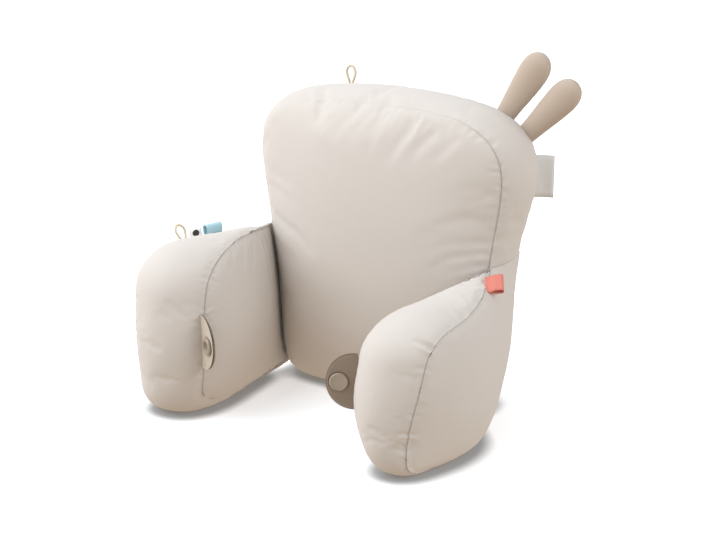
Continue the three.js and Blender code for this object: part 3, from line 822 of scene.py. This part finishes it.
# Cord loops: half a loop from its root to its top, out to the side and up
CORD_HALF = ((1.5, -5), (1.8, 2), (4.6, 10), (5.0, 15.5), (0, 20))
CORD_RADIUS = 1.4 * MM
STRANDS = 3
STRAND_RADIUS = 0.76 * MM
STRAND_ROUNDNESS = 3
CORD_LAY = 5.5 * MM  # length of one turn of the strands
TOP_LOOP = (-70 * MM, 29 * MM, 305.5 * MM)
ARM_LOOP_WAY = (-0.62, -0.3, 0.72)

# Ribbon loops and folded tapes
RIBBON_THICKNESS = 0.8 * MM
BLUE_SIZE = (18 * MM, 14 * MM, 8.6 * MM)  # width, height and spread of the loop
CORAL_SIZE = (18.5 * MM, 13 * MM, 6 * MM)
BLUE_WAY = (0, 0, 1)
CORAL_WAY = (0.87, 0.3, 0.05)
CORAL_ALONG = (-0.45, 0.68, 0.58)
CORAL_OUT = 3 * MM  # it leaves its seam this far outside the band
# Half a loop from its seam to its top, in shares of its spread and height
LOOP_FOOT = (0.4, 0.3)
LOOP_BELLY = 0.62
LOOP_SHOULDER = (0.36, 0.9)
TAG_WIDTH = 14 * MM
TAG_HEIGHT = 12 * MM
TAG_WAY = (-0.2, 0, 0.97)
LABEL_WIDTH = 42 * MM
LABEL_REACH = 18 * MM
LABEL_BOW = 1.4 * MM
LABEL_WAY = (0.91, 0.42, 0)
LABEL_SEAT = 0.5 * MM  # its seam is this far behind its front
TAPE_STEPS = 12  # quads along each layer of a folded tape
TAPE_THICKNESS = 0.5 * MM
TAPE_FOLD = 0.35 * MM  # half the gap between the layers of a folded tape

# Snap tabs
TAB_REACH = 26.5 * MM
TAB_HEIGHT = 55 * MM
TAB_TURN = math.radians(61)
TAB_SIDES = 64
TAB_SMOOTHING = 2
TAB_MERGE = 0.01 * MM
# Rings of a tab from its edge to its middle: width of the ring and how far it rises
TAB_RINGS = ((0.25, 0.75), (0.5, 0.45), (0.6, 0.1), (0.3, -0.3), (0.35, 0.35))
# Rings round a snap half: radius and how far each rises
SNAP_RINGS = ((10.0, 0), (9.6, -0.1), (9.4, -0.7), (7.0, 0))
STITCH_INSET = 1.75 * MM
STITCH_SPACING = 2.9 * MM
STITCH_SIZE = (0.9 * MM, 0.3 * MM, 0.3 * MM)
STITCH_HEIGHT = 1.15 * MM
STITCH_END = math.radians(84)  # the row ends here, close to the seam
STITCH_SIDES = (8, 5)
SNAP_PLACE = 14 * MM
SNAP_SIDES = 56
SNAP_SHARP = math.radians(18)  # sharper edges of a snap half are rounded
SNAP_ROUNDING = 0.16 * MM
# Turned outlines of the snap halves: radius, and place through the tab
SNAP_BACK = ((0, -3.4), (6.4, -3.4), (7.4, -2.6), (7.4, -1.5))
CAP_FRONT = ((8.1, 1.2), (8.1, 1.9), (9, 2.1), (9, 2.7), (8.2, 3.6), (7, 3.7), (6.4, 3.2), (0, 3.3))
SOCKET_FRONT = ((7.8, 1.2), (8.6, 1.7), (8.6, 3.0), (7.4, 4.1), (5.4, 4.1), (4.4, 0.6), (0, 0.4))


def axes_at(spot, along, out):
    """x along a seam, y outwards from it and z through the trim."""
    along = Vector(along).normalized()
    out = Vector(out)
    out = (out - along * out.dot(along)).normalized()
    turn = Matrix((along, out, along.cross(out))).transposed()
    return Matrix.Translation(spot) @ turn.to_4x4()


def box_middle(node):
    low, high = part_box(node)
    return (Vector(low) + Vector(high)) / 2


def seam_axes(node, holder, out, lie=None, off=0.0):
    """Axes at the place on a cushion's seams that a trim is sewn into, out from the cushion."""
    middle = box_middle(node)
    places = []
    for run in SEAMS[holder]:
        for a, b in zip(run, run[1:]):
            if abs((b - a).normalized().y) > MOSTLY:
                share = min(max(intersect_point_line(middle, a, b)[1], 0), 1)
                places.append((a.lerp(b, share), b - a))
    spot, along = min(places, key=lambda place: (place[0] - middle).length)
    return axes_at(spot + off * Vector(out), lie or along, out)


def curve_points(knots):
    """A smooth line through a few points, as Blender's automatic handles draw it."""
    data = bpy.data.curves.new("line", "CURVE")
    data.dimensions = "3D"
    line = data.splines.new("BEZIER")
    line.bezier_points.add(len(knots) - 1)
    for knot, place in zip(line.bezier_points, knots):
        knot.co = place
        knot.handle_left_type = knot.handle_right_type = "AUTO"
    guide = linked("line", data)
    points = [v.co.copy() for v in evaluated(guide).vertices]
    bpy.data.objects.remove(guide)
    return points


def made(name, bm, finish):
    """A piece from a bmesh, smooth and with its finish."""
    for face in bm.faces:
        face.smooth = True
    mesh = bpy.data.meshes.new(name)
    bm.to_mesh(mesh)
    bm.free()
    mesh.materials.append(finish)
    return linked(name, mesh)


def turned(outline, sides):
    """An outline of radius and height, in mm, turned round the z axis."""
    bm = bmesh.new()
    line = [bm.verts.new((radius * MM, 0, height * MM)) for radius, height in outline]
    edges = [bm.edges.new(pair) for pair in zip(line, line[1:])]
    bmesh.ops.spin(
        bm,
        geom=line + edges,
        axis=(0, 0, 1),
        cent=(0, 0, 0),
        angle=2 * math.pi,
        steps=sides,
        use_merge=True,
    )
    bmesh.ops.remove_doubles(bm, verts=bm.verts, dist=MERGE)
    bmesh.ops.recalc_face_normals(bm, faces=bm.faces)
    return bm


def swept(bm, row):
    """Extrudes a row of edges: the points and the edges of the new row."""
    new = bmesh.ops.extrude_edge_only(bm, edges=row)["geom"]
    points = {g for g in new if isinstance(g, bmesh.types.BMVert)}
    row = [g for g in new if isinstance(g, bmesh.types.BMEdge) and points.issuperset(g.verts)]
    return list(points), row


def horn(node):
    """A stuffed horn, flatter than it is wide, with a seam along each side."""
    bm = turned(HORN_OUTLINE, HORN_SIDES)
    crease = bm.edges.layers.float.new("crease_edge")
    for edge in bm.edges:
        a, b = (v.co for v in edge.verts)
        lengthwise = abs(a.z - b.z) > NEARLY or min(a.xy.length, b.xy.length) < NEARLY
        edge.seam = lengthwise and max(abs(a.y), abs(b.y)) < MERGE
        edge[crease] = 1.0 if edge.seam else 0.0
    bmesh.ops.scale(bm, vec=(1, HORN_FLATNESS, 1), verts=bm.verts)
    half, height, tilt = HORNS[node]
    place = Matrix.Translation((half, HORN_Y, height)) @ Matrix.Rotation(tilt, 4, "Y")
    bmesh.ops.transform(bm, matrix=place, verts=bm.verts)
    box_uv(bm)
    piece = made(node + "_cloth", bm, DARK_SAND)
    split_finer(piece, HORN_SMOOTHING)
    gather(piece, node, HORN_PUCKERS)
    groove(piece, node, HORN_PUCKERS)
    return show(piece, node)


def cord_loop(node, place):
    """A cord of twisted strands, bent into a loop."""
    half = [Vector((side, height, 0)) * MM for side, height in CORD_HALF]
    path = curve_points(half + [Vector((-p.x, p.y, 0)) for p in half[-2::-1]])
    data = bpy.data.curves.new(node, "CURVE")
    data.dimensions = "3D"
    data.bevel_depth = STRAND_RADIUS
    data.bevel_resolution = STRAND_ROUNDNESS
    data.use_fill_caps = True
    for strand in range(STRANDS):
        line = data.splines.new("POLY")
        line.points.add(len(path) - 1)
        way = 0.0
        for number, (knot, spot) in enumerate(zip(line.points, path)):
            ahead = path[min(number + 1, len(path) - 1)] - path[max(number - 1, 0)]
            side = Vector((-ahead.y, ahead.x, 0)).normalized()
            turn = 2 * math.pi * (way / CORD_LAY + strand / STRANDS)
            off = side * math.cos(turn) + Vector((0, 0, math.sin(turn)))
            knot.co = (*(spot + off * (CORD_RADIUS - STRAND_RADIUS)), 1)
            if number + 1 < len(path):
                way += (path[number + 1] - spot).length
        line.use_smooth = True
    guide = linked(node + "_guide", data)
    mesh = evaluated(guide)
    bpy.data.objects.remove(guide)
    mesh.transform(place)
    mesh.materials.clear()
    mesh.materials.append(CREAM)
    return show(linked(node + "_twist", mesh), node)


def strip(node, path, width, thickness, finish, place):
    """A ribbon or tape that follows a path, seen from its edge as through and out."""
    bm = bmesh.new()
    way = bm.verts.layers.float.new("way")
    line = []
    length = 0.0
    for through, out in path:
        spot = Vector((-width / 2, out, through))
        length += (spot - line[-1].co).length if line else 0
        line.append(bm.verts.new(spot))
        line[-1][way] = length
    row = [bm.edges.new(pair) for pair in zip(line, line[1:])]
    for _ in range(STRIP_STEPS):
        points, row = swept(bm, row)
        bmesh.ops.translate(bm, vec=(width / STRIP_STEPS, 0, 0), verts=points)
    cut = bm.loops.layers.uv.new("cut")
    for face in bm.faces:
        for loop in face.loops:
            loop[cut].uv = (loop.vert[way], loop.vert.co.x + width / 2)
    bmesh.ops.transform(bm, matrix=place, verts=bm.verts)
    piece = made(node + "_cloth", bm, finish)
    wall = piece.modifiers.new("wall", "SOLIDIFY")
    wall.thickness = thickness
    wall.offset = 0
    bake(piece)
    return piece, length


def ribbon_loop(node, size, holder, way, finish, lie=None, off=0.0):
    """A ribbon bent into a loop, with both its ends in the seam."""
    width, height, spread = size
    lift = RIBBON_THICKNESS / 2
    side = [
        (lift, -TRIM_ROOT),
        (lift, 0),
        (LOOP_FOOT[0] * spread, LOOP_FOOT[1] * height),
        (spread / 2 - lift, LOOP_BELLY * height),
        (LOOP_SHOULDER[0] * spread, LOOP_SHOULDER[1] * height),
    ]
    knots = side + [(0, height - lift)] + [(-through, out) for through, out in side[::-1]]
    path = [(p.x, p.y) for p in curve_points([Vector((*knot, 0)) for knot in knots])]
    place = seam_axes(node, holder, way, lie, off)
    piece, length = strip(node, path, width, RIBBON_THICKNESS, finish, place)
    return show(piece, node)


def folded_tape(node, width, height, bow, finish, place):
    """A tape folded in two, with both its ends in the seam."""
    rise = [-TRIM_ROOT + (height + TRIM_ROOT) * step / TAPE_STEPS for step in range(TAPE_STEPS)]
    front = [(TAPE_FOLD + 4 * bow * max(o, 0) * (height - o) / height**2, o) for o in rise]
    back = [(through - 2 * TAPE_FOLD, out) for through, out in front[::-1]]
    path = front + [(0, height)] + back
    piece, length = strip(node, path, width, TAPE_THICKNESS, finish, place)
    return show(piece, node)


def snap_axes(snap, side):
    """x out along a tab, y up it and z through it, from the seam that holds the tab."""
    out = Vector((-side * math.sin(TAB_TURN), -math.cos(TAB_TURN), 0))
    through = Vector((side * math.cos(TAB_TURN), -math.sin(TAB_TURN), 0))
    turn = Matrix((out, through.cross(out), through)).transposed()
    return Matrix.Translation(box_middle(snap) - out * SNAP_PLACE) @ turn.to_4x4()


def snap_tab(node, place, finish):
    """A padded half oval, pressed in round the snap that it carries."""
    bm = bmesh.new()
    bmesh.ops.create_circle(bm, cap_ends=True, radius=1, segments=TAB_SIDES)
    bmesh.ops.scale(bm, vec=(TAB_REACH, TAB_HEIGHT / 2, 1), verts=bm.verts)
    bmesh.ops.bisect_plane(
        bm,
        geom=[*bm.verts, *bm.edges, *bm.faces],
        plane_co=(-TRIM_ROOT, 0, 0),
        plane_no=(1, 0, 0),
        clear_inner=True,
    )
    middle = bm.faces[:]
    height = 0.0
    for ring, rise in TAB_RINGS:
        bmesh.ops.inset_region(
            bm, faces=middle, thickness=ring * MM, depth=rise * MM, use_even_offset=True
        )
        height += rise * MM
    inner = list(middle[0].edges)
    bmesh.ops.delete(bm, geom=middle, context="FACES_ONLY")
    snap = Matrix.Translation((SNAP_PLACE, 0, height))
    outermost = SNAP_RINGS[0][0] * MM
    circle = bmesh.ops.create_circle(bm, radius=outermost, segments=SNAP_SIDES, matrix=snap)
    ring = list({e for v in circle["verts"] for e in v.link_edges})
    bmesh.ops.bridge_loops(bm, edges=inner + ring)
    for (wide, _), (radius, rise) in zip(SNAP_RINGS, SNAP_RINGS[1:]):
        points, ring = swept(bm, ring)
        narrow = radius / wide
        bmesh.ops.scale(bm, vec=(narrow, narrow, 1), space=snap.inverted(), verts=points)
        bmesh.ops.translate(bm, vec=(0, 0, rise * MM), verts=points)
    bmesh.ops.edgeloop_fill(bm, edges=ring)
    whole = [*bm.verts, *bm.edges, *bm.faces]
    bmesh.ops.mirror(bm, geom=whole, axis="Z", merge_dist=TAB_MERGE)
    bmesh.ops.recalc_face_normals(bm, faces=bm.faces)
    bmesh.ops.transform(bm, matrix=place, verts=bm.verts)
    box_uv(bm)
    piece = made(node + "_cloth", bm, finish)
    split_finer(piece, TAB_SMOOTHING)
    return show(piece, node)


def tab_stitches(node, place):
    """Two rows of stitches, one on each face of a tab, inside its edge."""
    bm = bmesh.new()
    reach = TAB_REACH - STITCH_INSET
    half = TAB_HEIGHT / 2 - STITCH_INSET
    around, along = STITCH_SIDES
    turn = -STITCH_END
    while turn < STITCH_END:
        way = Vector((-reach * math.sin(turn), half * math.cos(turn), 0))
        spot = Vector((reach * math.cos(turn), half * math.sin(turn), 0))
        lie = Matrix.Rotation(math.atan2(way.y, way.x), 4, "Z")
        lie = lie @ Matrix.Diagonal((*STITCH_SIZE, 1))
        for face in (STITCH_HEIGHT, -STITCH_HEIGHT):
            spot.z = face
            stitch = place @ Matrix.Translation(spot) @ lie
            bmesh.ops.create_uvsphere(
                bm, u_segments=around, v_segments=along, radius=1, matrix=stitch
            )
        turn += STITCH_SPACING / way.length
    piece = made(node + "_stitches", bm, THREAD)
    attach(piece, "root")
    return piece


def snap_half(node, front, place):
    """Half of a snap, turned from its outline."""
    bm = turned((*SNAP_BACK, *front), SNAP_SIDES)
    sharp = [e for e in bm.edges if e.calc_face_angle(0) > SNAP_SHARP]
    bevelled(bm, sharp, SNAP_ROUNDING)
    bmesh.ops.transform(bm, matrix=place @ Matrix.Translation((SNAP_PLACE, 0, 0)), verts=bm.verts)
    return show(made(node + "_turned", bm, SNAP), node)


for node in HORNS:
    horn(node)
upright = Matrix.Translation(TOP_LOOP) @ Matrix.Rotation(math.pi / 2, 4, "X")
cord_loop("top_cord_loop", upright)
cord_loop("arm_cord_loop", seam_axes("arm_cord_loop", "arm_left", ARM_LOOP_WAY))
ribbon_loop("blue_ribbon_loop", BLUE_SIZE, "arm_left", BLUE_WAY, BLUE)
ribbon_loop(
    "coral_ribbon_loop",
    CORAL_SIZE,
    "arm_right",
    CORAL_WAY,
    CORAL,
    CORAL_ALONG,
    CORAL_OUT,
)
tag_place = seam_axes("dot_tag", "arm_left", TAG_WAY)
folded_tape("dot_tag", TAG_WIDTH, TAG_HEIGHT, 0, DOT_TAPE, tag_place)
label_low, label_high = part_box("side_label")
label_height = (label_low[2] + label_high[2]) / 2
label_spot = (label_high[0] - LABEL_REACH, label_low[1] + LABEL_SEAT, label_height)
label_place = axes_at(label_spot, (0, 0, 1), LABEL_WAY)
folded_tape("side_label", LABEL_WIDTH, LABEL_REACH, LABEL_BOW, WHITE, label_place)
for node, snap, front, side, finish, slot in (
    ("snap_tab_right", "snap_cap", CAP_FRONT, 1, TAB_SAND_WITH_PAINTED_SHADE, "tab"),
    ("snap_tab_left", "snap_socket", SOCKET_FRONT, -1, PALE_TAB, "shell"),
):
    place = snap_axes(snap, side)
    snap_tab(node, place, finish)
    tab_stitches(node, place)
    snap_half(snap, front, place)


# Floor, light and camera
FLOOR_HALF = 12
FLOOR_ROUGHNESS = 0.9
FLOOR_GLOW = 0.34
FLOOR_WHITE = (0.95, 0.97, 0.99)
# Painted shadow: close under the cushion the floor's colour and glow are darker: reach, shares of open
# air it fades between, and its darkest colour
PAINTED_SHADOW_REACH = 20 * MM
PAINTED_SHADOW_OPEN = (0.42, 0.86)
PAINTED_SHADOW_TONE = (0.30, 0.305, 0.31)
SKY_ABOVE = (0.43, 0.43, 0.44)
SKY_LEVEL = (0.88, 0.86, 0.83)
SKY_BELOW = (0.52, 0.31, 0.12)
SKY_STRENGTH = 1.0
# Lights: place, size and power
LIGHTS = {
    "left": ((-1.5, -1.0, 1.85), 3.0, 75),
    "right": ((1.9, 0.1, 1.3), 1.4, 16),
}
LIGHT_AIM = (0, -0.05, 0.15)
LIGHT_TINT = (0.96, 1.0, 1.05)


def floor():
    """A white, evenly glowing floor that shows the soft shadow under the cushion, with a painted
    shadow that darkens its colour and glow close under it.
    """
    bm = bmesh.new()
    bmesh.ops.create_grid(bm, x_segments=1, y_segments=1, size=FLOOR_HALF)
    mesh = bpy.data.meshes.new("floor")
    bm.to_mesh(mesh)
    bm.free()
    ground = linked("floor", mesh)
    ground.visible_diffuse = False
    finish = bpy.data.materials.new("white_floor")
    finish.use_nodes = True
    nodes = finish.node_tree.nodes
    links = finish.node_tree.links
    shader = nodes["Principled BSDF"]
    shader.inputs["Roughness"].default_value = FLOOR_ROUGHNESS
    shader.inputs["Specular IOR Level"].default_value = 0.0
    shader.inputs["Emission Strength"].default_value = FLOOR_GLOW
    # painted shadow: the floor's colour and glow go dark where the cushion shuts out the open air
    openness = nodes.new("ShaderNodeAmbientOcclusion")
    openness.inputs["Distance"].default_value = PAINTED_SHADOW_REACH
    painted_shadow = nodes.new("ShaderNodeValToRGB")
    links.new(openness.outputs["AO"], painted_shadow.inputs["Fac"])
    near, away = painted_shadow.color_ramp.elements
    near.position, away.position = PAINTED_SHADOW_OPEN
    near.color = (*PAINTED_SHADOW_TONE, 1)
    away.color = (*FLOOR_WHITE, 1)
    links.new(painted_shadow.outputs["Color"], shader.inputs["Base Color"])
    links.new(painted_shadow.outputs["Color"], shader.inputs["Emission Color"])
    mesh.materials.append(finish)


def sky():
    """Soft light from all round, brightest at eye level, dimmer above, and dim and warm below."""
    world = bpy.data.worlds.new("studio")
    world.use_nodes = True
    nodes = world.node_tree.nodes
    links = world.node_tree.links
    place = nodes.new("ShaderNodeTexCoord")
    height = nodes.new("ShaderNodeSeparateXYZ")
    links.new(place.outputs["Generated"], height.inputs["Vector"])
    share = nodes.new("ShaderNodeMapRange")
    share.inputs["From Min"].default_value = -1
    links.new(height.outputs["Z"], share.inputs["Value"])
    ramp = nodes.new("ShaderNodeValToRGB")
    links.new(share.outputs["Result"], ramp.inputs["Fac"])
    low, high = ramp.color_ramp.elements
    low.position, low.color = 0.0, (*SKY_BELOW, 1)
    high.position, high.color = 1.0, (*SKY_ABOVE, 1)
    level = ramp.color_ramp.elements.new(0.5)
    level.color = (*SKY_LEVEL, 1)
    links.new(ramp.outputs["Color"], nodes["Background"].inputs["Color"])
    nodes["Background"].inputs["Strength"].default_value = SKY_STRENGTH
    bpy.context.scene.world = world


def soft_light(name, place, target, size, power):
    data = bpy.data.lights.new(name, "AREA")
    data.shape = "DISK"
    data.size = size
    data.energy = power
    data.color = LIGHT_TINT
    lamp = linked(name, data)
    lamp.location = place
    aim = Vector(target) - Vector(place)
    lamp.rotation_mode = "QUATERNION"
    lamp.rotation_quaternion = aim.to_track_quat("-Z", "Y")


def studio():
    floor()
    sky()
    for name, (place, size, power) in LIGHTS.items():
        soft_light(name, place, LIGHT_AIM, size, power)
    scene = bpy.context.scene
    scene.view_settings.view_transform = "Standard"
    scene.view_settings.look = "None"
    data = bpy.data.cameras.new("camera")
    data.sensor_width = SENSOR
    data.lens = CAMERA_FOCUS * SENSOR / PHOTO_WIDTH
    camera = linked("camera", data)
    camera.location = CAMERA_PLACE
    level = math.cos(CAMERA_DROP)
    aim = (-math.sin(CAMERA_TURN) * level, math.cos(CAMERA_TURN) * level, -math.sin(CAMERA_DROP))
    camera.rotation_mode = "QUATERNION"
    camera.rotation_quaternion = Vector(aim).to_track_quat("-Z", "Y")
    scene.camera = camera


studio()
